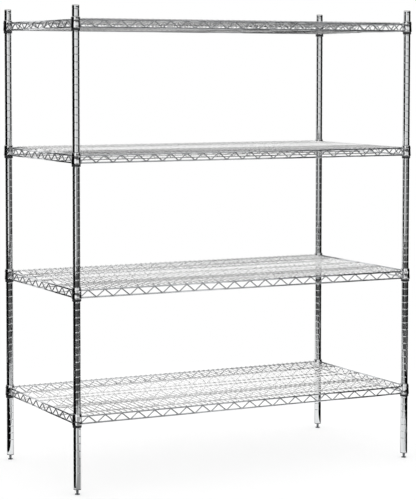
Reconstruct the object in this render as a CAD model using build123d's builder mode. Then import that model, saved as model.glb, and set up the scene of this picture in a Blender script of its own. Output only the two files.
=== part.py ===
from build123d import *
import os
from math import hypot

# Wire shelving rack: four tube posts, four lift-off wire shelves that wedge on
# split plastic sleeves clipped round the posts, and four screw feet.
# Millimetres. Origin on the floor under the middle of the rack, +Z up,
# X along the shelves, the front faces -Y.

# ---------------------------------------------------------------- sizes
# Posts, with one ring groove every inch that the sleeves clip into
post_spacing_x = 1320.0  # between post centres, along the shelves
post_spacing_y = 640.0  # between post centres, front to back
post_diameter = 25.4
post_wall = 1.4
post_length = 1643.0
groove_pitch = 25.4
first_groove = 56.0  # from the post's lower end to its lowest groove
groove_margin = 10.0  # least plain length above the highest groove

# Shelves, each held at a groove; the lowest groove is number 0
shelf_count = 4
lowest_shelf_groove = 7
grooves_over_top_shelf = 2

# Caps, pushed into the top of each post
cap_head_height = 3.0
cap_edge = 1.2  # chamfer round the head
cap_plug_length = 14.0

# Foot sockets, pushed into the lower end of each post
socket_flange_height = 2.6
socket_flange_overhang = 0.5
socket_plug_length = 26.0

# Levelling feet
foot_disc_diameter = 18.0
foot_disc_height = 4.0
foot_stem_diameter = 9.5
foot_stem_length = 52.0
foot_gap = 13.5  # free height between the disc and the socket, as set in use
thread_clearance = 0.08  # radial, stem in socket

# Split sleeves, two tapered halves to each
sleeve_height = 46.0
sleeve_top_wall = 1.3
sleeve_bottom_wall = 3.1
sleeve_grip_height = 22.0  # from the sleeve's lower edge to the groove that holds it
sleeve_slit = 0.8  # gap between the two halves

# Shelf corner collars, tapered to wedge on the sleeves
collar_drop = 9.0  # the sleeve shows this much below the collar
collar_height = 38.0
collar_wall = 1.6
seat_gap = 0.2  # collar to sleeve

# Shelf wires
rim_wire = 5.8
rim_offset = 6.0  # rim wires run this far outside the post centres
rim_low = 3.4  # lower rim wire's axis, above the collar's lower edge
rim_rise = 25.0  # lower rim wire to upper rim wire, axis to axis
lacing_wire = 4.0
lacing_pitch = 62.25  # one full zigzag
cross_wire = 3.4
cross_wires_per_lacing = 3  # cross wires to one zigzag
cross_overhang = 2.0  # beyond the rim wire's axis
runner_wire = 4.6
runner_rows = (0.28, 0.52, 0.80)  # shares of the shelf's depth, from the front rim
weld = 0.2  # how far welded wires sink into each other

# Sides of the many-sided outlines that stand in for repeated round ones
disc_sides = 16
ring_sides = 12
plug_sides = 8
heavy_wire_sides = 8

# ------------------------------------------------------- derived places
post_radius = post_diameter / 2
bore_radius = post_radius - post_wall
stem_radius = foot_stem_diameter / 2
post_bottom = foot_disc_height + foot_gap + socket_flange_height
post_top = post_bottom + post_length
highest_groove = int((post_length - first_groove - groove_margin) / groove_pitch)
top_shelf_groove = highest_groove - grooves_over_top_shelf
half_x = post_spacing_x / 2
half_y = post_spacing_y / 2
corners = {
    "front_left": (-half_x, -half_y),
    "front_right": (half_x, -half_y),
    "back_left": (-half_x, half_y),
    "back_right": (half_x, half_y),
}
sleeve_top_radius = post_radius + sleeve_top_wall
sleeve_bottom_radius = post_radius + sleeve_bottom_wall
sleeve_taper = (sleeve_bottom_radius - sleeve_top_radius) / sleeve_height
collar_low_bore = sleeve_bottom_radius - sleeve_taper * collar_drop + seat_gap
collar_high_bore = collar_low_bore - sleeve_taper * collar_height
rim_x = half_x + rim_offset
rim_y = half_y + rim_offset
lacing_offset = (rim_wire + lacing_wire) / 2 - weld
cross_pitch = lacing_pitch / cross_wires_per_lacing


def sleeve_z(level):
    """Height of the lower edge of a shelf's sleeves above the floor."""
    climb = (top_shelf_groove - lowest_shelf_groove) * level // (shelf_count - 1)
    groove_height = first_groove + (lowest_shelf_groove + climb) * groove_pitch
    return post_bottom + groove_height - sleeve_grip_height


def at_corners(z):
    """The same place on each of the four posts."""
    return Locations(*[(x, y, z) for x, y in corners.values()])


def finish(piece, name):
    """Name a finished piece and write its file."""
    piece.part.label = name
    export_step(piece.part, f"parts/{name}.step")


os.makedirs("parts", exist_ok=True)


# ------------------------------------------------- posts, caps and feet
for corner, (x, y) in corners.items():
    with BuildPart() as post:
        with BuildSketch(Plane.XY.offset(post_bottom)):
            with Locations((x, y)):
                Circle(post_radius)
                Circle(bore_radius, mode=Mode.SUBTRACT)
        extrude(amount=post_length)
    finish(post, f"{corner}_post")

    with BuildPart() as foot:
        with BuildSketch():
            with Locations((x, y)):
                RegularPolygon(foot_disc_diameter / 2, disc_sides)
        extrude(amount=foot_disc_height)
        with BuildSketch(Plane.XY.offset(foot_disc_height)):
            with Locations((x, y)):
                RegularPolygon(stem_radius, plug_sides)
        extrude(amount=foot_stem_length)
    finish(foot, f"{corner}_foot")

with BuildPart() as cap:
    with BuildSketch():
        RegularPolygon(post_radius, disc_sides)
    extrude(amount=cap_head_height)
    chamfer(cap.edges().group_by(Axis.Z)[-1], cap_edge)
    with BuildSketch():
        RegularPolygon(bore_radius, plug_sides)
    extrude(amount=-cap_plug_length)
with BuildPart() as caps:
    with at_corners(post_top):
        add(cap.part)
finish(caps, "post_caps")

with BuildPart() as socket:
    with BuildSketch():
        RegularPolygon(post_radius + socket_flange_overhang, disc_sides)
    extrude(amount=-socket_flange_height)
    with BuildSketch():
        RegularPolygon(bore_radius, plug_sides)
    extrude(amount=socket_plug_length)
    with Locations((0, 0, socket_plug_length)):
        Hole(stem_radius + thread_clearance)
with BuildPart() as sockets:
    with at_corners(post_bottom):
        add(socket.part)
finish(sockets, "foot_sockets")


# --------------------------------------------------- sleeves and collars
def ring_outline(radius, height):
    """Many-sided outline whose flats touch the round one of this radius."""
    with BuildSketch(Plane.XY.offset(height)) as outline:
        RegularPolygon(radius, ring_sides, major_radius=False)
    return outline.sketch


def taper(low_radius, high_radius, height, mode=Mode.ADD):
    """A tapered many-sided plug, standing on the origin."""
    ends = [ring_outline(low_radius, 0), ring_outline(high_radius, height)]
    loft(sections=ends, ruled=True, mode=mode)


with BuildPart() as sleeve:
    taper(sleeve_bottom_radius, sleeve_top_radius, sleeve_height)
    taper(post_radius, post_radius, sleeve_height, mode=Mode.SUBTRACT)
    with Locations((0, 0, sleeve_height / 2)):
        Box(4 * sleeve_bottom_radius, sleeve_slit, 2 * sleeve_height, mode=Mode.SUBTRACT)

with BuildPart() as collar:
    taper(collar_low_bore + collar_wall, collar_high_bore + collar_wall, collar_height)
    taper(collar_low_bore, collar_high_bore, collar_height, mode=Mode.SUBTRACT)

# What the shelf wires are cut back to where they meet a collar
collar_skin = collar_wall - weld
with BuildPart() as collar_core:
    taper(collar_low_bore + collar_skin, collar_high_bore + collar_skin, collar_height)


# ---------------------------------------------------------- shelf wires
def heavy_wire(diameter):
    """Many-sided section whose flats touch the round wire's outside."""
    turn = 180 / heavy_wire_sides
    RegularPolygon(diameter / 2, heavy_wire_sides, major_radius=False, rotation=turn)


def make_rim(z_wire, z_collar):
    """Four straight wires from collar to collar."""
    with BuildPart() as rim:
        with BuildSketch(Plane.YZ.offset(-half_x)):
            with Locations((-rim_y, z_wire), (rim_y, z_wire)):
                heavy_wire(rim_wire)
        extrude(amount=post_spacing_x)
        with BuildSketch(Plane.XZ.offset(-half_y)):
            with Locations((-rim_x, z_wire), (rim_x, z_wire)):
                heavy_wire(rim_wire)
        extrude(amount=post_spacing_y)
        with at_corners(z_collar):
            add(collar_core.part, mode=Mode.SUBTRACT)
    return rim


def lacing_count(span):
    """Whole zigzags that fit between two posts."""
    return int(span / lacing_pitch)


def lacing_outline(span, z_low, z_high):
    """Outline of a zigzag wire seen square on, from low end to low end."""
    count = lacing_count(span)
    half_pitch = lacing_pitch / 2
    reach = lacing_wire / 2 * hypot(half_pitch, z_high - z_low) / half_pitch
    middle = []
    for bend in range(2 * count + 1):
        middle.append(((bend - count) * half_pitch, z_high if bend % 2 else z_low))
    over = [(along, z + reach) for along, z in middle]
    under = [(along, z - reach) for along, z in reversed(middle)]
    return over + under


def make_lacing(z_low, z_high, z_collar):
    """A zigzag wire on the outer face of each pair of rim wires."""
    out_x = rim_x + lacing_offset
    out_y = rim_y + lacing_offset
    sides = (
        (Plane.XZ.offset(out_y), post_spacing_x),
        (Plane.XZ.offset(-out_y), post_spacing_x),
        (Plane.YZ.offset(out_x), post_spacing_y),
        (Plane.YZ.offset(-out_x), post_spacing_y),
    )
    with BuildPart() as lacing:
        for plane, span in sides:
            with BuildSketch(plane):
                with BuildLine():
                    Polyline(*lacing_outline(span, z_low, z_high), close=True)
                make_face()
            extrude(amount=lacing_wire / 2, both=True)
        with at_corners(z_collar):
            add(collar_core.part, mode=Mode.SUBTRACT)
    return lacing


def make_cross_wires(z_high):
    """The deck: thin wires front to back, lying across the rims and runners."""
    count = cross_wires_per_lacing * (lacing_count(post_spacing_x) - 1) + 1
    z_wire = z_high + (rim_wire + cross_wire) / 2 - weld
    reach = rim_y + cross_overhang
    with BuildPart() as deck:
        with BuildSketch(Plane.XZ.offset(-reach)):
            with Locations((0, z_wire)):
                with GridLocations(cross_pitch, 0, count, 1):
                    Rectangle(cross_wire, cross_wire)
        extrude(amount=2 * reach)
    return deck


def make_runners(z_low, z_high):
    """Pairs of long wires under the deck, one above the other."""
    reach = rim_x - rim_wire / 2 + weld
    rows = [(2 * share - 1) * rim_y for share in runner_rows]
    with BuildPart() as runners:
        with BuildSketch(Plane.YZ.offset(-reach)):
            for z_wire in (z_low, z_high + (rim_wire - runner_wire) / 2):
                with Locations(*[(y, z_wire) for y in rows]):
                    heavy_wire(runner_wire)
        extrude(amount=2 * reach)
    return runners


# -------------------------------------------------------------- shelves
for level in range(shelf_count):
    shelf = f"shelf_{level + 1}"
    z_sleeve = sleeve_z(level)
    z_collar = z_sleeve + collar_drop
    z_low = z_collar + rim_low
    z_high = z_low + rim_rise
    with BuildPart() as sleeves:
        with at_corners(z_sleeve):
            add(sleeve.part)
    with BuildPart() as collars:
        with at_corners(z_collar):
            add(collar.part)
    finish(sleeves, f"{shelf}_sleeves")
    finish(collars, f"{shelf}_collars")
    finish(make_rim(z_high, z_collar), f"{shelf}_upper_rim")
    finish(make_rim(z_low, z_collar), f"{shelf}_lower_rim")
    finish(make_lacing(z_low, z_high, z_collar), f"{shelf}_lacing")
    finish(make_cross_wires(z_high), f"{shelf}_cross_wires")
    finish(make_runners(z_low, z_high), f"{shelf}_runners")
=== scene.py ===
# %% [markdown]
# # A wire shelving rack
# Four chromed tube posts carry four welded wire shelves. The solid model fixes every size and
# place. This lesson dresses it: grooved tubes, round wires, rolled collars, black plastic
# sleeves and screw feet, each made the way it could be made by hand in Blender.

# %% Load the frame
import math
import bpy
from mathutils import Euler, Matrix, Vector


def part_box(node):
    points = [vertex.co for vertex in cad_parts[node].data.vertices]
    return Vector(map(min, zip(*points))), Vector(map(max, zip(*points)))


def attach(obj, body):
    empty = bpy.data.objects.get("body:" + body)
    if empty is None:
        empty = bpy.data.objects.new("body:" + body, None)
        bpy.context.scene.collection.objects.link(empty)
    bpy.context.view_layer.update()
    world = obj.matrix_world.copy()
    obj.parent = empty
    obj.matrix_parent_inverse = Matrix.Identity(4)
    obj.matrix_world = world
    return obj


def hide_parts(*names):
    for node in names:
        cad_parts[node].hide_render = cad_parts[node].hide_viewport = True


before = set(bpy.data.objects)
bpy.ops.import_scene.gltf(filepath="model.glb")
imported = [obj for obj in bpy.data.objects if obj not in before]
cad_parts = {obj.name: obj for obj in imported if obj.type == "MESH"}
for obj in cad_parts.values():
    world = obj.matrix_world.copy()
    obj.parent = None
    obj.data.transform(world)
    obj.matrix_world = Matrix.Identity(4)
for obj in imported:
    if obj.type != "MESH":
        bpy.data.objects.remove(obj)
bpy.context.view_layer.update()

MM = 0.001

# %% [markdown]
# ## Camera
# The camera comes first, because every finish is judged through it. It stands in front and to
# the left, at chest height, with a long lens. The lens is shifted down instead of tilted, which
# keeps the upright posts nearly parallel, as a view camera does.

# %% Camera
camera_place = Vector((-3.0774, -6.0892, 1.4621))
camera_turn = 0.4824  # from straight back towards the right, radians
camera_dip = 0.0643
camera_roll = 0.0018
camera_data = bpy.data.cameras.new("camera")
camera_data.lens = 133.2
camera_data.sensor_width = 36
camera_data.shift_x = -0.0533
camera_data.shift_y = -0.1306
camera_data.clip_end = 100
camera = bpy.data.objects.new("camera", camera_data)
bpy.context.scene.collection.objects.link(camera)
aim = Euler((math.pi / 2 - camera_dip, 0, -camera_turn)).to_matrix()
aim = aim @ Matrix.Rotation(camera_roll, 3, "Z")
camera.matrix_world = Matrix.Translation(camera_place) @ aim.to_4x4()
bpy.context.scene.camera = camera
print("camera at", tuple(round(v, 2) for v in camera_place))

# %% [markdown]
# ## Sizes from the frame
# The posts give the centres that everything is built round. Only details that the solid model
# leaves plain, such as the grooves, get a size of their own, in the cell that first needs it.

# %% Sizes
corner_names = ("front_left", "front_right", "back_left", "back_right")
shelf_names = [f"shelf_{number}" for number in (1, 2, 3, 4)]
post_centres = {}
for corner in corner_names:
    low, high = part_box(f"{corner}_post")
    post_centres[corner] = Vector(((low.x + high.x) / 2, (low.y + high.y) / 2, 0))
post_low, post_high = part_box("front_left_post")
post_radius = (post_high.x - post_low.x) / 2
post_wall = 1.4 * MM
bore = post_radius - post_wall
post_x = post_centres["front_right"].x
post_y = post_centres["back_left"].y
print("post spacing", round(2 * post_x, 4), "by", round(2 * post_y, 4), "m")

# %% [markdown]
# ## The tools of the bench
# Most round parts here are turned: a chain of vertices is drawn by extruding one vertex, then
# spun round an axis. A lathe would cut the same outline. The helpers below do that, copy a
# piece with a mesh of its own, and lay a finished piece's place into its mesh.


# %% Helpers: selecting and placing
def only(piece):
    """Selects this piece alone and makes it active, because an operator acts on what it finds."""
    bpy.ops.object.select_all(action="DESELECT")
    piece.select_set(True)
    bpy.context.view_layer.objects.active = piece


def named(name):
    """Names the active piece and its mesh."""
    piece = bpy.context.object
    piece.name = name
    piece.data.name = name
    return piece


def settle(piece):
    """Moves a piece's place into its mesh, so its object sits at the origin."""
    only(piece)
    bpy.ops.object.transform_apply(location=True, rotation=True, scale=True)


def smooth(piece, degrees=50):
    """Shades smooth, but keeps every edge sharper than this crisp."""
    only(piece)
    bpy.ops.object.shade_smooth_by_angle(angle=math.radians(degrees))


def copy_to(piece, name, place):
    """A copy with its own mesh, moved by place."""
    only(piece)
    bpy.ops.object.duplicate()
    copy = named(name)
    copy.location = place
    settle(copy)
    return copy


def join(pieces, name):
    """Joins pieces into one mesh under a new name."""
    only(pieces[0])
    for piece in pieces:
        piece.select_set(True)
    bpy.ops.object.join()
    return named(name)


def drop(piece):
    """Deletes a pattern piece once its copies are made."""
    only(piece)
    bpy.ops.object.delete()


# %% Helpers: drawing and turning
merge_distance = 0.005 * MM  # vertices closer than this are one
round_sides = 40  # enough that a piece as wide as a post looks round


def chain(name, points):
    """A line of edges through the points, drawn by extruding one vertex."""
    bpy.ops.object.select_all(action="DESELECT")
    bpy.ops.mesh.primitive_plane_add(size=MM)
    piece = named(name)
    bpy.ops.object.mode_set(mode="EDIT")
    bpy.ops.mesh.select_all(action="SELECT")
    bpy.ops.mesh.merge(type="CENTER")
    bpy.ops.transform.translate(value=Vector(points[0]))
    for here, after in zip(points, points[1:]):
        step = Vector(after) - Vector(here)
        bpy.ops.mesh.extrude_region_move(TRANSFORM_OT_translate={"value": step})
    bpy.ops.object.mode_set(mode="OBJECT")
    return piece


def tidy_mesh(piece):
    """Merges doubles, then turns every face outwards."""
    only(piece)
    bpy.ops.object.mode_set(mode="EDIT")
    bpy.ops.mesh.select_all(action="SELECT")
    bpy.ops.mesh.remove_doubles(threshold=merge_distance)
    bpy.ops.mesh.normals_make_consistent(inside=False)
    bpy.ops.object.mode_set(mode="OBJECT")


def turned(name, outline, sides):
    """Spins an outline of (radius, height) points round the Z axis."""
    piece = chain(name, [(radius, 0, height) for radius, height in outline])
    bpy.ops.object.mode_set(mode="EDIT")
    bpy.ops.mesh.select_all(action="SELECT")
    bpy.ops.mesh.spin(steps=sides, angle=math.tau, center=(0, 0, 0), axis=(0, 0, 1))
    bpy.ops.object.mode_set(mode="OBJECT")
    tidy_mesh(piece)
    smooth(piece)
    return piece


def at_posts(pattern, name, height):
    """Copies a turned pattern to the four posts and joins the copies."""
    copies = []
    for corner, centre in post_centres.items():
        copies.append(copy_to(pattern, f"{name}_{corner}", centre + Vector((0, 0, height))))
    drop(pattern)
    return join(copies, name)


# %% [markdown]
# ## Posts
# Each post is a thin tube with a shallow ring rolled into it at every inch, where a sleeve can
# grip. Modelling the rings as a bump would lose them at the silhouette, so the outline of the
# whole tube, rings included, is drawn once and turned. The other three posts are copies.

# %% Groove sizes
groove_pitch = 25.4 * MM  # one inch
first_groove = 56.0 * MM  # above the tube's lower end
top_margin = 10.0 * MM  # left plain at the upper end
groove_depth = 0.7 * MM
groove_half = 1.6 * MM  # half the ring's width
groove_rim = 0.4 * MM
tube_edge = 0.3 * MM  # softened where the tube is cut
tube_sides = 48
post_length = post_high.z - post_low.z
groove_count = int((post_length - first_groove - top_margin) / groove_pitch) + 1
print("grooves:", groove_count, "in a tube", round(post_length, 4), "m long")


# %% Posts
def groove_outline(height):
    """One rolled ring, seen in section, with a straight rim that keeps the tube's shine true."""
    shoulder = groove_half / 2
    rim = groove_half + groove_rim
    waist = post_radius - 0.65 * groove_depth  # two thirds of the way down, so the ring is round
    return [
        (post_radius, height - rim),
        (post_radius, height - groove_half),
        (waist, height - shoulder),
        (post_radius - groove_depth, height),
        (waist, height + shoulder),
        (post_radius, height + groove_half),
        (post_radius, height + rim),
    ]


post_outline = [(post_radius - tube_edge, post_low.z), (post_radius, post_low.z + tube_edge)]
for number in range(groove_count):
    post_outline += groove_outline(post_low.z + first_groove + number * groove_pitch)
post_outline += [(post_radius, post_high.z - tube_edge)]
post_outline += [(post_radius - tube_edge, post_high.z)]
post_outline += [(bore, post_high.z), (bore, post_low.z), post_outline[0]]
post_pattern = turned("post_pattern", post_outline, tube_sides)
posts = {}
for corner, centre in post_centres.items():
    posts[corner] = copy_to(post_pattern, f"{corner}_grooved_tube", centre)
    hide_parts(f"{corner}_post")
    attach(posts[corner], "post_frame")
drop(post_pattern)
print("posts:", len(posts), "of", round(2 * post_radius / MM, 1), "mm tube")

# %% [markdown]
# ## Caps and foot sockets
# A moulded cap closes each tube at the top, and a turned socket with a thin flange closes it at
# the bottom and takes the foot's thread. Both are hidden but for their rims, so their outlines
# keep the softened edges that catch the light.

# %% Caps
cap_low, cap_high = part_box("post_caps")
cap_head = cap_high.z - post_high.z
plug_radius = bore - 0.05 * MM  # slides into the tube
round_far, round_near = 1.2 * MM, 0.35 * MM  # two steps round the moulded edge
cap_outline = [
    (0, cap_high.z),
    (post_radius - 3.0 * MM, cap_high.z),
    (post_radius - round_far, cap_high.z - round_near),
    (post_radius - round_near, cap_high.z - round_far),
    (post_radius, post_high.z + 0.8 * MM),
    (post_radius - 0.25 * MM, post_high.z),
    (plug_radius, post_high.z),
    (plug_radius, cap_low.z + 1.5 * MM),
    (plug_radius - 1.0 * MM, cap_low.z),
    (0, cap_low.z),
]
caps = at_posts(turned("cap_pattern", cap_outline, round_sides), "moulded_caps", 0)
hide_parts("post_caps")
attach(caps, "post_frame")
print("caps: head", round(cap_head / MM, 2), "mm high")

# %% Foot sockets
socket_low, socket_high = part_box("foot_sockets")
flange_radius = socket_high.x - post_x
thread_hole = 4.83 * MM  # radius, a little wider than the foot's thread
lead_in = 1.0 * MM  # the bevel that starts the plug into the tube
socket_outline = [
    (thread_hole, socket_low.z),
    (flange_radius - 1.0 * MM, socket_low.z),
    (flange_radius, socket_low.z + 0.8 * MM),
    (flange_radius, post_low.z - 0.3 * MM),
    (flange_radius - 0.3 * MM, post_low.z),
    (plug_radius, post_low.z),
    (plug_radius, socket_high.z - lead_in),
    (plug_radius - lead_in, socket_high.z),
    (thread_hole, socket_high.z),
    (thread_hole, socket_low.z),
]
sockets = at_posts(turned("socket_pattern", socket_outline, round_sides), "flanged_sockets", 0)
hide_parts("foot_sockets")
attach(sockets, "post_frame")
print("sockets: flange", round(2 * flange_radius / MM, 1), "mm across")

# %% [markdown]
# ## Levelling feet
# A foot is a small round pad, a waisted barrel that a hand or a wrench turns, and a thread. The
# pad and barrel are turned. The thread is one tooth swept up a helix with the Screw modifier,
# which is how a die cuts it.

# %% Foot outline
foot_low, foot_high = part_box("front_left_foot")
pad_radius = (foot_high.x - foot_low.x) / 2
pad_height = 4.0 * MM
pad_edge = 0.8 * MM
thread_start = 15.5 * MM  # above the floor
thread_radius = 4.7 * MM
thread_root = 4.0 * MM
thread_pitch = 1.6 * MM
steps_per_turn = 20
foot_sides = 32
foot_outline = [
    (0, 0),
    (pad_radius - pad_edge, 0),
    (pad_radius, pad_edge),
    (pad_radius, pad_height - 1.3 * MM),
    (pad_radius - 1.2 * MM, pad_height - 0.2 * MM),
    (4.4 * MM, pad_height),
    (3.3 * MM, pad_height + 1.0 * MM),
    (4.2 * MM, pad_height + 2.6 * MM),
    (4.7 * MM, pad_height + 4.8 * MM),
    (4.6 * MM, pad_height + 7.2 * MM),
    (4.0 * MM, thread_start - 1.5 * MM),
    (3.6 * MM, thread_start + 0.5 * MM),
    (0, thread_start + 0.5 * MM),
]
print("foot: pad", round(2 * pad_radius / MM, 1), "mm across")


# %% Helpers: the thread
def threaded_stem(name, low, high):
    """A screw thread between two heights, its ends closed."""
    crest_start, crest_end = 0.4, 0.6  # shares of the pitch where the tooth is full height
    tooth = [
        (thread_root, 0, low),
        (thread_radius, 0, low + thread_pitch * crest_start),
        (thread_radius, 0, low + thread_pitch * crest_end),
        (thread_root, 0, low + thread_pitch),
    ]
    piece = chain(name, tooth)
    only(piece)
    bpy.ops.object.modifier_add(type="SCREW")
    screw = piece.modifiers[-1]
    screw.screw_offset = thread_pitch
    screw.iterations = int((high - low) / thread_pitch) - 1
    screw.steps = screw.render_steps = steps_per_turn
    screw.use_merge_vertices = True
    screw.merge_threshold = merge_distance
    bpy.ops.object.modifier_apply(modifier=screw.name)
    tidy_mesh(piece)
    bpy.ops.object.mode_set(mode="EDIT")
    bpy.ops.mesh.select_mode(type="EDGE")
    bpy.ops.mesh.select_all(action="DESELECT")
    bpy.ops.mesh.select_non_manifold()
    bpy.ops.mesh.fill()
    bpy.ops.mesh.select_mode(type="VERT")
    bpy.ops.object.mode_set(mode="OBJECT")
    tidy_mesh(piece)
    smooth(piece, 40)
    return piece


# %% Levelling feet
pad_pattern = turned("foot_pattern", foot_outline, foot_sides)
stem_pattern = threaded_stem("stem_pattern", thread_start, foot_high.z)
foot_pattern = join([pad_pattern, stem_pattern], "foot_pattern")
feet = {}
for corner, centre in post_centres.items():
    feet[corner] = copy_to(foot_pattern, f"{corner}_screw_foot", centre)
    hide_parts(f"{corner}_foot")
    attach(feet[corner], f"{corner}_foot")
drop(foot_pattern)
print("feet: thread", round(2 * thread_radius / MM, 1), "mm, pitch", thread_pitch / MM, "mm")

# %% [markdown]
# ## Sleeves and collars
# Under each shelf corner two black plastic halves clip round the post, thicker at the bottom.
# The shelf's collar, a drawn steel cone, wedges down on them. Only the sleeve's lowest
# centimetre shows. Each half is the same outline spun through a little less than half a turn.
# Two beads are pressed into the collar where the two rim wires are welded to it.

# %% Helpers: half a sleeve
polygon_flat = math.cos(math.pi / 12)  # the solids have twelve sides that touch the round form
grip_height = 22.0 * MM  # of the bead that sits in the post's groove
grip_half = 1.2 * MM
grip_depth = 0.5 * MM
sleeve_top_wall = 1.3 * MM
sleeve_gap = 0.02 * MM  # between the sleeve and the post
slit = 0.8 * MM  # between the two halves


def sleeve_outline(low, high, bottom_radius):
    """Section of a sleeve half: tapered outside, a bead inside that sits in a groove."""
    top_radius = post_radius + sleeve_top_wall
    inner = post_radius + sleeve_gap
    grip = low + grip_height
    return [
        (inner, low),
        (bottom_radius - 0.5 * MM, low),
        (bottom_radius, low + 0.6 * MM),
        (top_radius, high - 0.4 * MM),
        (top_radius - 0.4 * MM, high),
        (inner, high),
        (inner, grip + grip_half),
        (inner - grip_depth, grip),
        (inner, grip - grip_half),
        (inner, low),
    ]


def sleeve_half(name, outline, turn):
    """Spins the outline through half a turn less the slit, then closes its two ends."""
    gap = math.asin(slit / 2 / post_radius)
    angle = turn + gap
    points = []
    for radius, height in outline[:-1]:
        points.append((radius * math.cos(angle), radius * math.sin(angle), height))
    piece = chain(name, points)
    bpy.ops.object.mode_set(mode="EDIT")
    bpy.ops.mesh.select_all(action="SELECT")
    bpy.ops.mesh.edge_face_add()
    swing = math.pi - 2 * gap
    bpy.ops.mesh.spin(steps=round_sides // 2, angle=swing, center=(0, 0, 0), axis=(0, 0, 1))
    bpy.ops.object.mode_set(mode="OBJECT")
    tidy_mesh(piece)
    smooth(piece, 40)
    return piece


# %% Sleeves
sleeves = {}
for shelf in shelf_names:
    low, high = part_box(f"{shelf}_sleeves")
    outline = sleeve_outline(low.z, high.z, (high.x - post_x) * polygon_flat)
    halves = [sleeve_half("half", outline, 0), sleeve_half("half", outline, math.pi)]
    pattern = join(halves, "sleeve_pattern")
    sleeves[shelf] = at_posts(pattern, f"{shelf}_split_sleeves", 0)
    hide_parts(f"{shelf}_sleeves")
    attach(sleeves[shelf], "post_frame")
print("sleeves:", len(sleeves), "sets")


# %% Helpers: the collar's section
collar_wall = 1.6 * MM
collar_taper = 1.8 / 46.0  # how much the radius shrinks for each unit of height
collar_edge = 0.5 * MM
collar_roll = 1.0 * MM
lower_swell, lower_bulge = 3.4 * MM, 0.5 * MM  # height above the collar's foot, and how far out
upper_swell, upper_bulge = 28.4 * MM, 1.1 * MM
swell_half = 2.9 * MM  # half the width of a bead, about that of the wire that sits on it


def swell(radius, height, bulge):
    """A low round bead pressed into the collar's wall."""
    shoulder = radius + 0.75 * bulge
    return [
        (radius, height - swell_half),
        (shoulder, height - swell_half / 2),
        (radius + bulge, height),
        (shoulder, height + swell_half / 2),
        (radius, height + swell_half),
    ]


def collar_outline(low, high, low_radius):
    """Section of a drawn collar: a tapered wall with two beads, rolled in at the top."""
    high_radius = low_radius - collar_taper * (high - low)
    return [
        (low_radius - collar_edge, low),
        *swell(low_radius - collar_taper * lower_swell, low + lower_swell, lower_bulge),
        *swell(low_radius - collar_taper * upper_swell, low + upper_swell, upper_bulge),
        (high_radius, high - 2 * collar_roll),
        (high_radius - 0.3 * collar_roll, high - collar_roll),
        (high_radius - 0.7 * collar_roll, high - 0.3 * collar_roll),
        (high_radius - 1.2 * collar_roll, high),
        (high_radius - collar_wall, high),
        (low_radius - collar_wall, low),
        (low_radius - collar_edge, low),
    ]


# %% Collars
collars = {}
for shelf in shelf_names:
    low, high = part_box(f"{shelf}_collars")
    outline = collar_outline(low.z, high.z, (high.x - post_x) * polygon_flat)
    pattern = turned("collar_pattern", outline, round_sides)
    collars[shelf] = at_posts(pattern, f"{shelf}_drawn_collars", 0)
    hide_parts(f"{shelf}_collars")
    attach(collars[shelf], shelf)
print("collars:", len(collars), "sets")

# %% [markdown]
# ## Wires
# A shelf is straight wire and bent wire, all round. A straight wire is a cylinder with its cut
# ends softened by a bevel. A zigzag is a chain of bends whose corners are rounded with a vertex
# bevel, then turned into a curve that is given the wire's thickness.


# %% Helpers: straight and bent wire
cut_edge = 0.2  # bevel at a cut end, as a share of the wire's diameter


def straight_wire(name, start, end, diameter, sides=12):
    """A straight length of round wire whose cut ends are softened."""
    start, end = Vector(start), Vector(end)
    run = end - start
    bpy.ops.object.select_all(action="DESELECT")
    bpy.ops.mesh.primitive_cylinder_add(
        vertices=sides,
        radius=diameter / 2,
        depth=run.length,
        location=(start + end) / 2,
        rotation=run.to_track_quat("Z", "Y").to_euler(),
    )
    piece = named(name)
    for face in piece.data.polygons:
        face.select = len(face.vertices) == sides
    bpy.ops.object.mode_set(mode="EDIT")
    bpy.ops.mesh.select_mode(type="FACE")
    bpy.ops.mesh.bevel(offset=cut_edge * diameter, segments=1, affect="EDGES")
    bpy.ops.mesh.select_mode(type="VERT")
    bpy.ops.object.mode_set(mode="OBJECT")
    settle(piece)
    smooth(piece)
    return piece


def bent_wire(name, points, diameter, bend):
    """Round wire along a chain of points, with its corners rounded."""
    piece = chain(name, points)
    only(piece)
    bpy.ops.object.mode_set(mode="EDIT")
    bpy.ops.mesh.select_all(action="SELECT")
    bpy.ops.mesh.bevel(offset=bend, segments=3, affect="VERTICES")
    bpy.ops.object.mode_set(mode="OBJECT")
    bpy.ops.object.convert(target="CURVE")
    curve = bpy.context.object.data
    curve.bevel_depth = diameter / 2
    curve.bevel_resolution = 2
    curve.use_fill_caps = True
    bpy.ops.object.convert(target="MESH")
    piece = named(name)
    tidy_mesh(piece)
    smooth(piece)
    return piece


# %% [markdown]
# ## Rims
# Two heavy wires run round each shelf, one above the other, welded to the collars at their
# ends. The solids give each rim's height and how far out it lies.

# %% Rims
rim_sides = 16
rim_places = {}  # how far out each rim lies in X and in Y, and its height


def meets_at(offset, radius):
    """How far from a post's centre a wire that passes it at an offset meets a radius."""
    return math.sqrt(radius**2 - offset**2)


def collar_radius_at(shelf, height):
    """The collar's outer radius at a height, its beads left out."""
    low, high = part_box(f"{shelf}_collars")
    return (high.x - post_x) * polygon_flat - collar_taper * (height - low.z)


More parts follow.
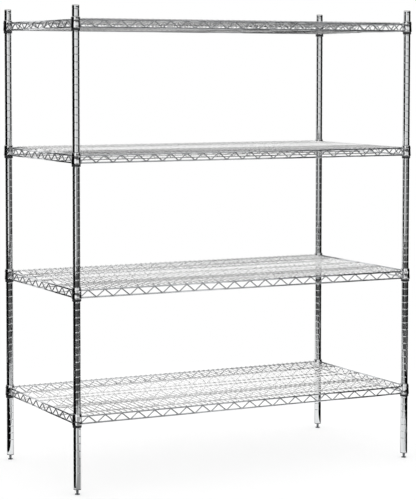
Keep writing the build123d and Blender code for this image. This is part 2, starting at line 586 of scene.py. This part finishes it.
def make_rim(shelf, which):
    """Four wires at one height that end in the middle of the collars' walls."""
    low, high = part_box(f"{shelf}_{which}_rim")
    wire = high.z - low.z
    height = (low.z + high.z) / 2
    rim_x, rim_y = high.x - wire / 2, high.y - wire / 2
    middle = collar_radius_at(shelf, height) - collar_wall / 2
    end_x = post_x - meets_at(rim_y - post_y, middle)
    end_y = post_y - meets_at(rim_x - post_x, middle)
    bars = []
    for side in (-1, 1):
        y = side * rim_y
        start, end = (-end_x, y, height), (end_x, y, height)
        bars.append(straight_wire("bar", start, end, wire, rim_sides))
        x = side * rim_x
        start, end = (x, -end_y, height), (x, end_y, height)
        bars.append(straight_wire("bar", start, end, wire, rim_sides))
    rim = join(bars, f"{shelf}_{which}_rim_wires")
    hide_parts(f"{shelf}_{which}_rim")
    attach(rim, shelf)
    rim_places[shelf, which] = (rim_x, rim_y, height)
    return rim


rims = []
for shelf in shelf_names:
    rims.append(make_rim(shelf, "lower"))
    rims.append(make_rim(shelf, "upper"))
print("rims:", len(rims))

# %% [markdown]
# ## Zigzags
# A lighter wire zigzags between the two rims and is welded at every touch, which is what makes
# so thin a shelf stiff. The same bent wire stands under the deck, between each pair of runners.

# %% Zigzags on the rims
lacing_pitch = 62.25 * MM  # from one low bend to the next
lacing_wire = 4.0 * MM
bend_radius = 5.0 * MM


def zigzag_points(span, low, high, place):
    """Bends from low to low along a span, each put in space by place(along, height)."""
    count = int(span / lacing_pitch)  # whole waves, centred on the span
    points = []
    for bend in range(2 * count + 1):
        along = (bend - count) * lacing_pitch / 2
        points.append(place(along, high if bend % 2 else low))
    return points


def make_lacing(shelf):
    """The zigzags of a shelf's four sides, as high as its rims."""
    far_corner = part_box(f"{shelf}_lacing")[1]
    low = rim_places[shelf, "lower"][2]
    high = rim_places[shelf, "upper"][2]
    out_x = far_corner.x - lacing_wire / 2
    out_y = far_corner.y - lacing_wire / 2
    runs = []
    for side in (-1, 1):
        front = zigzag_points(2 * post_x, low, high, lambda a, z: (a, side * out_y, z))
        end = zigzag_points(2 * post_y, low, high, lambda a, z: (side * out_x, a, z))
        runs.append(bent_wire("run", front, lacing_wire, bend_radius))
        runs.append(bent_wire("run", end, lacing_wire, bend_radius))
    lacing = join(runs, f"{shelf}_zigzag_wires")
    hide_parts(f"{shelf}_lacing")
    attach(lacing, shelf)
    return lacing


lacings = [make_lacing(shelf) for shelf in shelf_names]
print("zigzags on", len(lacings), "shelves")


# %% Runners and their zigzags
runner_rows = (0.28, 0.52, 0.80)  # shares of the way from the front rim to the back one
runner_wire = 4.6 * MM
runner_zigzag_wire = 3.4 * MM


def make_runners(shelf):
    """Pairs of long wires under the deck, each pair with a zigzag between its two."""
    box_low, box_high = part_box(f"{shelf}_runners")
    low, high = box_low.z + runner_wire / 2, box_high.z - runner_wire / 2
    reach = box_high.x
    rim_y = rim_places[shelf, "upper"][1]
    pieces = []
    for y in [(2 * share - 1) * rim_y for share in runner_rows]:
        for height in (low, high):
            start, end = (-reach, y, height), (reach, y, height)
            pieces.append(straight_wire("runner", start, end, runner_wire))
        zigzag = zigzag_points(2 * post_x, low, high, lambda a, z: (a, y, z))
        pieces.append(bent_wire("runner_zigzag", zigzag, runner_zigzag_wire, bend_radius))
    runners = join(pieces, f"{shelf}_runner_wires")
    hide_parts(f"{shelf}_runners")
    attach(runners, shelf)
    return runners


runners = [make_runners(shelf) for shelf in shelf_names]
print("runners on", len(runners), "shelves")

# %% [markdown]
# ## Decks
# About sixty thin wires lie front to back across the rims. One wire is modelled and an Array
# modifier sets out the rest, which keeps the spacing exact.

# %% Decks
cross_pitch = lacing_pitch / 3
deck_sides = 10


def make_deck(shelf):
    """The thin wires that carry the load, set out from the first by an Array."""
    low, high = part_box(f"{shelf}_cross_wires")
    wire = high.z - low.z
    height = (low.z + high.z) / 2
    first = low.x + wire / 2
    count = round((high.x - low.x - wire) / cross_pitch) + 1
    start, end = (first, low.y, height), (first, high.y, height)
    deck = straight_wire(f"{shelf}_deck_wires", start, end, wire, deck_sides)
    bpy.ops.object.modifier_add(type="ARRAY")
    array = deck.modifiers[-1]
    array.use_relative_offset = False
    array.use_constant_offset = True
    array.constant_offset_displace = (cross_pitch, 0, 0)
    array.count = count
    bpy.ops.object.modifier_apply(modifier=array.name)
    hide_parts(f"{shelf}_cross_wires")
    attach(deck, shelf)
    return deck


decks = [make_deck(shelf) for shelf in shelf_names]
print("decks:", len(decks), "of", len(decks[0].data.vertices), "vertices")

# %% [markdown]
# ## Weld beads
# Where a rim meets a collar the weld leaves a small rounded lump. A squashed sphere at each
# joint closes the gap that a straight cut leaves against a round collar.


# %% Weld beads
weld_radius = 3.1 * MM
weld_sink = 0.4 * MM  # how deep its centre lies in the collar's wall
squash_along, squash_up = 0.8, 0.95  # flattened along the wire, and a little in height


def bead(place, along_x):
    """One weld where a wire along X, or along Y, meets a collar."""
    bpy.ops.object.select_all(action="DESELECT")
    bpy.ops.mesh.primitive_uv_sphere_add(
        segments=12, ring_count=8, radius=weld_radius, location=place
    )
    piece = named("bead")
    piece.scale = (squash_along, 1, squash_up) if along_x else (1, squash_along, squash_up)
    settle(piece)
    smooth(piece, 60)
    return piece


def make_beads(shelf):
    """A bead at both ends of every rim wire."""
    beads = []
    for which in ("lower", "upper"):
        rim_x, rim_y, height = rim_places[shelf, which]
        radius = collar_radius_at(shelf, height) - weld_sink
        end_x = post_x - meets_at(rim_y - post_y, radius)
        end_y = post_y - meets_at(rim_x - post_x, radius)
        for side_x in (-1, 1):
            for side_y in (-1, 1):
                beads.append(bead((side_x * end_x, side_y * rim_y, height), True))
                beads.append(bead((side_x * rim_x, side_y * end_y, height), False))
    welds = join(beads, f"{shelf}_weld_beads")
    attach(welds, shelf)
    return welds


welds = [make_beads(shelf) for shelf in shelf_names]
print("weld beads on", len(welds), "shelves")

# %% [markdown]
# ## Finishes
# Chrome is nearly colourless and mirror-smooth, so what the eye reads is the room, broken up
# by how true the metal under the plate is. Drawn tube is true along its length, wire less so,
# and the collars are pressed, so their plate ripples, with swells 6 to 9 mm long. Handling
# leaves a faint haze in patches about 30 mm across. Colours are written as sRGB hex and turned
# to linear by one function.


# %% Helpers: colours and nodes
def linear(hex_colour):
    """sRGB hex to linear RGBA."""
    values = []
    for place in (1, 3, 5):
        value = int(hex_colour[place : place + 2], 16) / 255
        values.append(value / 12.92 if value <= 0.04045 else ((value + 0.055) / 1.055) ** 2.4)
    return (*values, 1.0)


def grey(shade):
    """A linear grey as RGBA."""
    return (shade, shade, shade, 1.0)


def put(tree, kind, inputs, **settings):
    """Adds a node with its settings; an input gets a value, or a link from an output."""
    node = tree.nodes.new(kind)
    for name, value in settings.items():
        setattr(node, name, value)
    for name, value in inputs.items():
        if isinstance(value, bpy.types.NodeSocket):
            tree.links.new(value, node.inputs[name])
        else:
            node.inputs[name].default_value = value
    return node


def new_material(name):
    """An empty node material and its node tree."""
    material = bpy.data.materials.new(name)
    material.use_nodes = True
    material.node_tree.nodes.clear()
    return material, material.node_tree


def wear(pieces, material):
    """Gives each piece this material alone."""
    for piece in pieces:
        piece.data.materials.clear()
        piece.data.materials.append(material)


# %% Chrome plate
haze_patch = 30 * MM
haze_spread = 2.2  # the haziest patches are this much rougher than the brightest


def chrome_plate(name, colour, roughness, ripple_mm, ripple_height, stretch, edge=1.0):
    """Bright plate: a slow ripple in the metal under it and a faint haze in patches."""
    material, tree = new_material(name)
    places = put(tree, "ShaderNodeTexCoord", {}).outputs["Object"]
    drawn = put(tree, "ShaderNodeMapping", {"Vector": places, "Scale": stretch}).outputs[0]
    ripple = put(tree, "ShaderNodeTexNoise", {"Vector": drawn, "Scale": 1 / (ripple_mm * MM)})
    inputs = {"Height": ripple.outputs[0], "Strength": 1.0, "Distance": ripple_height * MM}
    bump = put(tree, "ShaderNodeBump", inputs)
    haze = put(tree, "ShaderNodeTexNoise", {"Vector": places, "Scale": 1 / haze_patch})
    inputs = {"Value": haze.outputs[0], "From Min": 0.35, "From Max": 0.7}
    inputs |= {"To Min": roughness, "To Max": roughness * haze_spread}
    spread = put(tree, "ShaderNodeMapRange", inputs)
    inputs = {"Base Color": linear(colour), "Metallic": 1.0}
    inputs |= {"Roughness": spread.outputs[0], "Normal": bump.outputs[0]}
    inputs["Specular Tint"] = grey(edge)  # painted shade: below 1 it darkens the reflection where the metal is seen edge-on
    metal = put(tree, "ShaderNodeBsdfPrincipled", inputs)
    put(tree, "ShaderNodeOutputMaterial", {"Surface": metal.outputs[0]})
    return material


# %% Chrome on tube, wire and collars
even = (1, 1, 1)
drawn_out = (1, 1, 0.5)  # the ripple of a drawn tube is twice as long as it is wide
# painted shade: the last number dims the edges of the tube, the bent wire and the collars
tube_chrome = chrome_plate("chrome_on_drawn_tube", "#E9EBEC", 0.04, 9, 0.14, drawn_out, 0.05)
rim_chrome = chrome_plate("chrome_on_heavy_wire", "#DCDEE0", 0.05, 8, 0.05, even)
# painted shade: the plate of the zigzags and welds is darker than the rest of the chrome, so they
# read as dark lines
darkened_lacing_chrome = chrome_plate("chrome_on_bent_wire_painted_shade", "#BFC1C3", 0.08, 8, 0.05, even, 0.2)
# painted light: the deck and runner wires' plate is lifted near white, to make up for the light
# the crowded wires take from each other
lightened_deck_chrome = chrome_plate("chrome_on_deck_wire_painted_light", "#FCFCFC", 0.03, 8, 0.05, even)
collar_chrome = chrome_plate("chrome_on_pressed_collar", "#F2F3F4", 0.03, 6, 0.28, even, 0.1)
chromed = [
    (posts.values(), tube_chrome),
    (rims, rim_chrome),
    (lacings + welds, darkened_lacing_chrome),
    (decks + runners, lightened_deck_chrome),
    (collars.values(), collar_chrome),
]
for pieces, chrome in chromed:
    wear(pieces, chrome)
print("chrome on", sum(len(pieces) for pieces, chrome in chromed), "pieces")

# %% [markdown]
# ## Zinc on the feet
# The feet and their sockets are turned steel under a thin zinc plate, greyer and softer than
# chrome. The tool leaves fine rings round them. Real ones are a quarter of a millimetre apart,
# too fine to show, so they are drawn at 0.8 mm.


# %% Zinc plate on the feet
ring_pitch = 0.8 * MM
ring_depth = 0.04 * MM
ring_stretch = (0.1, 0.1, 1)  # long round the foot, short in height


def zinc_plate():
    """Turned steel with a thin zinc plate: fine rings from the tool, softly bright."""
    material, tree = new_material("zinc_on_turned_steel")
    places = put(tree, "ShaderNodeTexCoord", {}).outputs["Object"]
    rings = put(tree, "ShaderNodeMapping", {"Vector": places, "Scale": ring_stretch}).outputs[0]
    marks = put(tree, "ShaderNodeTexNoise", {"Vector": rings, "Scale": 1 / ring_pitch})
    inputs = {"Height": marks.outputs[0], "Strength": 0.6, "Distance": ring_depth}
    bump = put(tree, "ShaderNodeBump", inputs)
    inputs = {"Value": marks.outputs[0], "To Min": 0.22, "To Max": 0.4}
    spread = put(tree, "ShaderNodeMapRange", inputs)
    inputs = {"Base Color": linear("#85888B"), "Metallic": 1.0}
    inputs |= {"Roughness": spread.outputs[0], "Normal": bump.outputs[0]}
    metal = put(tree, "ShaderNodeBsdfPrincipled", inputs)
    put(tree, "ShaderNodeOutputMaterial", {"Surface": metal.outputs[0]})
    return material


wear([*feet.values(), sockets], zinc_plate())
print("zinc plate on the feet and sockets")

# %% [markdown]
# ## Moulded plastics
# The sleeves are black nylon and the caps light grey ABS. A mould is spark-eroded, so neither
# is a mirror: a fine grain softens what they reflect, and the shine changes a little from
# place to place. The grain of a real mould, a tenth of a millimetre, is too fine to show, and
# is drawn several times as coarse.


# %% Moulded plastics
shine_patch = 12 * MM
shine_change = 0.15


def moulded_plastic(name, colour, roughness, grain_mm, grain_height):
    """Moulded plastic: a fine spark-eroded grain and a faint change of shine."""
    material, tree = new_material(name)
    places = put(tree, "ShaderNodeTexCoord", {}).outputs["Object"]
    grain = put(tree, "ShaderNodeTexNoise", {"Vector": places, "Scale": 1 / (grain_mm * MM)})
    inputs = {"Height": grain.outputs[0], "Strength": 1.0, "Distance": grain_height * MM}
    bump = put(tree, "ShaderNodeBump", inputs)
    patches = put(tree, "ShaderNodeTexNoise", {"Vector": places, "Scale": 1 / shine_patch})
    inputs = {"Value": patches.outputs[0], "To Min": roughness}
    inputs |= {"To Max": roughness + shine_change}
    spread = put(tree, "ShaderNodeMapRange", inputs)
    inputs = {"Base Color": linear(colour), "Roughness": spread.outputs[0]}
    inputs |= {"Normal": bump.outputs[0]}
    plastic = put(tree, "ShaderNodeBsdfPrincipled", inputs)
    put(tree, "ShaderNodeOutputMaterial", {"Surface": plastic.outputs[0]})
    return material


wear(sleeves.values(), moulded_plastic("black_nylon", "#28292B", 0.26, 0.6, 0.05))
wear([caps], moulded_plastic("light_grey_abs", "#C4C4C2", 0.3, 0.8, 0.02))
print("plastic on the sleeves and caps")

# %% [markdown]
# ## Studio
# The rack stands on a white floor in even light. Polished metal would vanish there, so, as in
# any studio that shoots chrome, cards that the camera can't see stand round for the metal to
# reflect. Black ones at the left and right draw the dark edges of every post. The front one is
# a stack of four strips, dark at the floor and the roof and light between, so each post runs
# from dark at its foot to bright above. The grey ceiling and the cards lying on the floor shade
# the wires above and below. The back stays open and white, because the deck's wires point that
# way and their reflection never leaves it.

# %% Floor
studio_reach = 2.2
white = grey(1.0)
matt_shade, lift = 0.62, 0.45  # added up, they pass white where no shadow falls
plain_shade = 0.9  # what lights the rack from below is ordinary paper
bpy.ops.object.select_all(action="DESELECT")
bpy.ops.mesh.primitive_circle_add(vertices=64, radius=studio_reach, fill_type="NGON")
floor = named("studio_floor")
paper, tree = new_material("white_floor_paper")
rays = put(tree, "ShaderNodeLightPath", {}).outputs
seen = rays["Is Camera Ray"]
for kind in ("Is Glossy Ray", "Is Transmission Ray"):
    either = put(tree, "ShaderNodeMath", {0: seen, 1: rays[kind]}, operation="MAXIMUM")
    seen = either.outputs[0]
# seen straight or in a reflection, the paper is lifted to white but keeps the rack's shadow
matt = put(tree, "ShaderNodeBsdfDiffuse", {"Color": grey(matt_shade)})
glow = put(tree, "ShaderNodeEmission", {"Color": white, "Strength": lift})
lifted = put(tree, "ShaderNodeAddShader", {0: matt.outputs[0], 1: glow.outputs[0]})
plain = put(tree, "ShaderNodeBsdfDiffuse", {"Color": grey(plain_shade)})
inputs = {0: seen, 1: plain.outputs[0], 2: lifted.outputs[0]}
paper_mix = put(tree, "ShaderNodeMixShader", inputs)
put(tree, "ShaderNodeOutputMaterial", {"Surface": paper_mix.outputs[0]})
wear([floor], paper)
print("floor:", round(2 * studio_reach, 1), "m across")


# %% Helpers: cards
def card(name, corners, shade):
    """A card that only reflections meet: it casts no shadow and gives no light."""
    piece = chain(name, corners)
    bpy.ops.object.mode_set(mode="EDIT")
    bpy.ops.mesh.select_all(action="SELECT")
    bpy.ops.mesh.edge_face_add()
    bpy.ops.object.mode_set(mode="OBJECT")
    piece.visible_camera = False
    piece.visible_shadow = False
    piece.visible_diffuse = False
    felt, tree = new_material(f"{name}_felt")
    cloth = put(tree, "ShaderNodeBsdfDiffuse", {"Color": grey(shade)})
    put(tree, "ShaderNodeOutputMaterial", {"Surface": cloth.outputs[0]})
    wear([piece], felt)


def standing(start, end, low, high):
    """Corners of an upright card between two places on the floor."""
    return [(*start, low), (*end, low), (*end, high), (*start, high)]


def flat(places, height):
    """Corners of a card that lies level at one height."""
    return [(x, y, height) for x, y in places]


# %% Standing cards and ceiling
black, charcoal, dark_grey = 0.004, 0.07, 0.12
foot, roof = 0.01, 4.0
low_top, side_top = 0.4, 0.22  # where the low cards end
studio_left, studio_right = (-2.4, -3.9), (2.2, -3.4)  # the two front corners of the studio
left_back, left_front = (-2.35, 3.1), (-3.6, -1.8)
right_back = (4.3, 1.3)
right_start, beside_right, beyond_right = (0.34, -1.3), (1.0, -0.95), (1.35, 0.6)
ceiling = [studio_left, studio_right, right_back, (-2.8, 1.3), (-3.2, 0.1), (-1.8, 0.1)]
# the front card is four strips, each with its lower and upper end and its shade
strips = [(foot, 0.4, charcoal), (0.4, 1.0, 0.22), (1.0, 2.6, 0.75), (2.6, roof, 0.1)]
cards = [
    ("left_card", standing(left_front, left_back, foot, roof), black),
    ("right_card", standing(studio_right, right_back, foot, roof), black),
]
for number, (low, high, shade) in enumerate(strips):
    cards.append((f"front_card_{number}", standing(studio_left, studio_right, low, high), shade))
cards += [
    ("left_low_card", standing(left_front, studio_left, foot, low_top), dark_grey),
    ("right_low_card", standing(beside_right, beyond_right, foot, side_top), black),
    ("right_step_card", standing(right_start, beside_right, foot, side_top), black),
    ("ceiling_card", flat(ceiling, roof), 0.7),
]
for name, corners, shade in cards:
    card(name, corners, shade)
print("standing cards and ceiling:", len(cards))

# %% Cards on the floor
just_above = 0.004  # so that a card and the floor don't share a plane
left_foot, right_foot, middle_foot = (-0.69, -0.33), (0.68, -0.345), (-0.1, -0.35)
near_left, near_middle, near_right = (-1.5, -1.9), (-0.1, -1.85), (1.3, -1.8)
beside_left = (-1.75, -1.05)
right_edge = [(0.69, 0.31), (0.63, 0), (0.69, -0.24), right_foot, right_start]
floor_cards = {
    "left_floor_card": ([left_foot, beside_left, left_front, left_back, (-0.7, 0.4)], black),
    "right_floor_card": ([(1.7, -1.1), studio_right, right_back, (1.9, 0.6)], black),
    "right_near_card": ([*right_edge, beside_right, beyond_right, (0.75, 0.36)], black),
    "near_left_card": ([left_foot, near_left, near_middle, middle_foot], 0.4),
    "near_right_card": ([middle_foot, near_middle, near_right, right_foot], 0.92),
    "far_floor_card": ([near_left, studio_left, studio_right, near_right], charcoal),
    "left_far_floor_card": ([beside_left, left_front, studio_left, near_left], dark_grey),
}
for name, (places, shade) in floor_cards.items():
    card(name, flat(places, just_above), shade)
print("cards on the floor:", len(floor_cards))

# %% [markdown]
# ## Light
# One even white world lights everything. It shows each colour about as it is written. The cards
# decide what the metal reflects, and some plates' colours add painted light and painted shade.

# %% Light
world = bpy.data.worlds.new("studio")
bpy.context.scene.world = world
world.use_nodes = True
world.node_tree.nodes.clear()
sky = put(world.node_tree, "ShaderNodeBackground", {"Color": white, "Strength": 1.0})
put(world.node_tree, "ShaderNodeOutputWorld", {"Surface": sky.outputs[0]})
bpy.context.scene.view_settings.view_transform = "Standard"
print("light: an even white studio")
